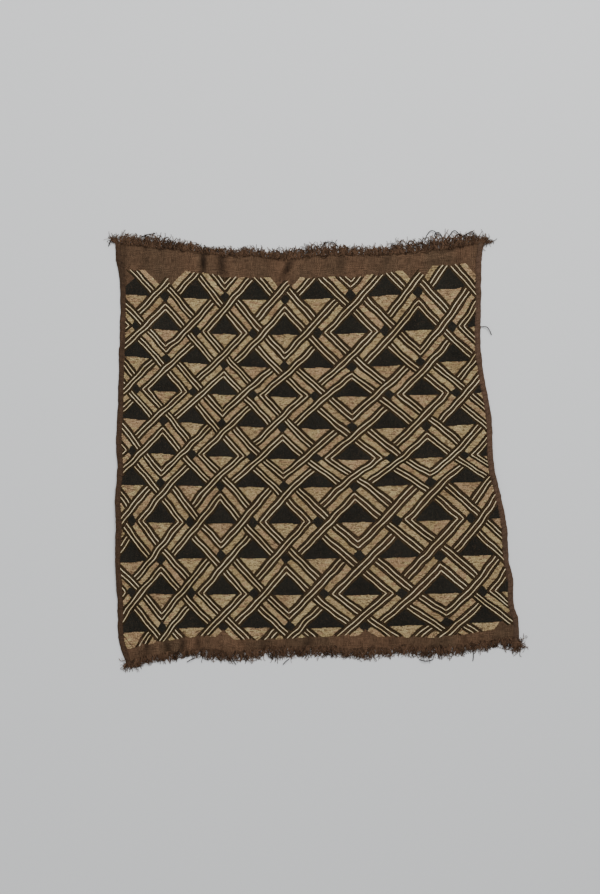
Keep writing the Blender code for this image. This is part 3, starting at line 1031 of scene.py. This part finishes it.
def fibre_tubes(paths, radius, tip=0.6):
    """Three-sided fibres along paths of points. tip is the end's radius as a share of the root's."""
    count, points = paths.shape[:2]
    ahead = np.gradient(paths, axis=1)
    ahead /= np.maximum(np.linalg.norm(ahead, axis=2, keepdims=True), 1e-9)
    up = np.array([0.05, 0.03, 1.0])
    side = np.cross(ahead, up)
    side /= np.maximum(np.linalg.norm(side, axis=2, keepdims=True), 1e-9)
    over = np.cross(side, ahead)
    thin = radius[:, None] * np.linspace(1.0, tip, points)
    rings = []
    for turn in (math.pi / 2, math.pi * 7 / 6, math.pi * 11 / 6):
        rings.append(paths + thin[..., None] * (math.cos(turn) * side + math.sin(turn) * over))
    verts = np.stack(rings, axis=2)
    root = np.arange(count) * points * 3
    last = root + (points - 1) * 3
    first = (root[:, None] + np.arange(points - 1) * 3).ravel()
    walls = []
    for i in range(3):
        j = (i + 1) % 3
        walls.append(np.stack((first + i, first + j, first + j + 3, first + i + 3), axis=1))
    ends = [np.stack((root + 2, root + 1, root), axis=1), np.stack((last, last + 1, last + 2), axis=1)]
    return verts.reshape(-1, 3), [np.concatenate(walls), np.concatenate(ends)]


def curled_fibres(x, y, z, lean, reach, outward, rng):
    """Paths of fibres that leave the given places, heading out of the cloth, and curl."""
    count = len(x)
    t = np.linspace(0, 1, FIBRE_POINTS)
    curl = rng.normal(0, FIBRE_CURL, count)[:, None]
    waver = rng.uniform(*FIBRE_WAVER, count)[:, None]
    phase = rng.uniform(0, 2 * math.pi, count)[:, None]
    heading = lean[:, None] + curl * t**2 + waver * np.sin(2 * math.pi * 1.5 * t + phase)
    step = reach[:, None] / (FIBRE_POINTS - 1)
    zero = np.zeros((count, 1))
    out_x = np.concatenate([zero, np.cumsum(np.sin(heading) * step, axis=1)[:, :-1]], axis=1)
    out_y = np.concatenate([zero, np.cumsum(np.cos(heading) * step, axis=1)[:, :-1]], axis=1)
    rise = rng.uniform(*FIBRE_RISE, count)[:, None] * np.sin(math.pi * t) ** 1.4
    high = z[:, None] * (1 - t) ** 1.4 + 0.45 + rise
    return np.stack([x[:, None] + out_x, y[:, None] + outward * out_y, high], axis=2)


def make_fringe(end, material):
    """Tufts of curled fibres that leave a cut end, with thicker tufts at its corners."""
    node = f"fringe_{end}"
    table, outward, lengths, frayed, corners, seed = FRINGES[end]
    rng = np.random.default_rng(seed)
    low, high = table[0][0], table[-1][0]
    tufts = int((high - low) / TUFT_PITCH)
    tuft = np.repeat(np.arange(tufts), FIBRES_PER_TUFT)
    count = len(tuft)
    share = (tuft + rng.normal(0.5, TUFT_SPREAD, count)) / tufts
    x = np.clip(low + share * (high - low), low + 0.5, high - 0.5)
    inside = frayed * rng.uniform(0, 1, count) ** FRAY_FALL
    inside = inside * (0.75 + 0.35 * waves(x, 0, 14.0, seed))
    lean = rng.normal(0, TUFT_LEAN, tufts)[tuft] + rng.normal(0, FIBRE_LEAN, count)
    lean += CORNER_LEAN * hump((x - high) / CORNER_REACH)
    lean -= CORNER_LEAN * hump((x - low) / CORNER_REACH)
    reach = (smooth_curve(lengths, x) + inside) * rng.choice(FIBRE_LENGTHS, count)
    reach *= rng.uniform(*TUFT_LENGTHS, tufts)[tuft]
    y = smooth_curve(table, x) - outward * inside
    parts = [curled_fibres(x, y, 1.3 + 0.25 * inside, lean, reach, outward, rng)]
    for corner in corners:
        row = dict(zip(CORNER_COLUMNS, corner))
        count = row["count"]
        x = row["x"] + rng.normal(0, 3.0, count)
        y = row["y"] + rng.normal(0, 2.0, count)
        lean = math.radians(row["lean"]) + rng.normal(0, row["spread"], count)
        reach = row["length"] * rng.uniform(0.6, 1.3, count)
        parts.append(curled_fibres(x, y, rng.uniform(1.0, 2.6, count), lean, reach, outward, rng))
    paths = np.concatenate(parts)
    points, faces = fibre_tubes(paths, rng.uniform(*FIBRE_RADIUS, len(paths)))
    item = add_mesh(f"{node}_fibres", points, faces, material)
    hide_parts(node)
    return item


def make_stray_threads(material):
    """Single threads that have worked loose and lie on the floor round the cloth."""
    paths = []
    for thread in STRAY_THREADS:
        at = np.linspace(0, len(thread) - 1, STRAY_POINTS)
        x, y = (smooth_curve(list(enumerate(values)), at) for values in zip(*thread))
        arch = np.sin(np.linspace(0, math.pi, STRAY_POINTS))
        z = STRAY_LOW + STRAY_ARCH * arch + unevenness(x, y, STRAY_WAVES)
        paths.append(np.stack([x, y, z], axis=1))
    path = np.array(paths)
    points, faces = fibre_tubes(path, np.full(len(path), STRAY_RADIUS), tip=1.0)
    item = add_mesh("stray_threads", points, faces, material)
    return item


def make_floor():
    material, _, shader = new_shader("floor", 0.9)
    shader.inputs["Base Color"].default_value = linear(232, 233, 233)
    shader.inputs["Specular IOR Level"].default_value = 0.1
    half, low = FLOOR_HALF, -FLOOR_DROP
    corners = [(-half, -half, low), (half, -half, low), (half, half, low), (-half, half, low)]
    item = add_mesh("floor", corners, [np.array([[0, 1, 2, 3]])], material, body=None)


def make_light(name, place, size, power):
    data = bpy.data.lights.new(name, "AREA")
    data.shape = "SQUARE"
    data.size = size
    data.energy = power
    item = bpy.data.objects.new(name, data)
    bpy.context.scene.collection.objects.link(item)
    item.location = place
    item.rotation_mode = "QUATERNION"
    item.rotation_quaternion = (-item.location).to_track_quat("-Z", "Y")


def make_studio():
    """Soft light from above and from the top side, and a pale surround."""
    world = bpy.data.worlds.new("studio")
    world.use_nodes = True
    background = world.node_tree.nodes["Background"]
    background.inputs["Color"].default_value = (0.95, 0.97, 1.0, 1)
    background.inputs["Strength"].default_value = SURROUND
    bpy.context.scene.world = world
    for light in LIGHTS:
        make_light(*light)


def make_camera():
    data = bpy.data.cameras.new("camera")
    data.lens = LENS
    data.sensor_width = SENSOR
    item = bpy.data.objects.new("camera", data)
    bpy.context.scene.collection.objects.link(item)
    distance = IMAGE_HEIGHT * PIXEL * LENS / SENSOR
    item.location = (CAMERA_X * MM, CAMERA_Y * MM, distance * MM)
    data.clip_start, data.clip_end = 0.05, 20.0
    bpy.context.scene.camera = item


def main():
    materials = make_materials()
    ground = make_ground(materials["ground"])
    rolls = [
        make_roll("hem_left", -1, materials["roll_left"]),
        make_roll("hem_right", 1, materials["roll_right"]),
        make_whipping(materials["whip"]),
    ]
    make_bands(materials)
    blacks = [("upper", materials["black"])]
    tans = [(tone, materials[tone]) for tone in TAN_TONES]
    make_pile("pile_black", black_patches(), BLACK_PILE, True, blacks, BLACK_RAGGED, 0, BLACK_SEED)
    make_pile("pile_tan", tan_patches(), TAN_PILE, False, tans, TAN_RAGGED, TAN_THIN, TAN_SEED)
    fringes = [make_stray_threads(materials["stray"])]
    fringes += [make_fringe(end, materials["fringe"]) for end in FRINGES]
    make_floor()
    make_studio()
    make_camera()


main()
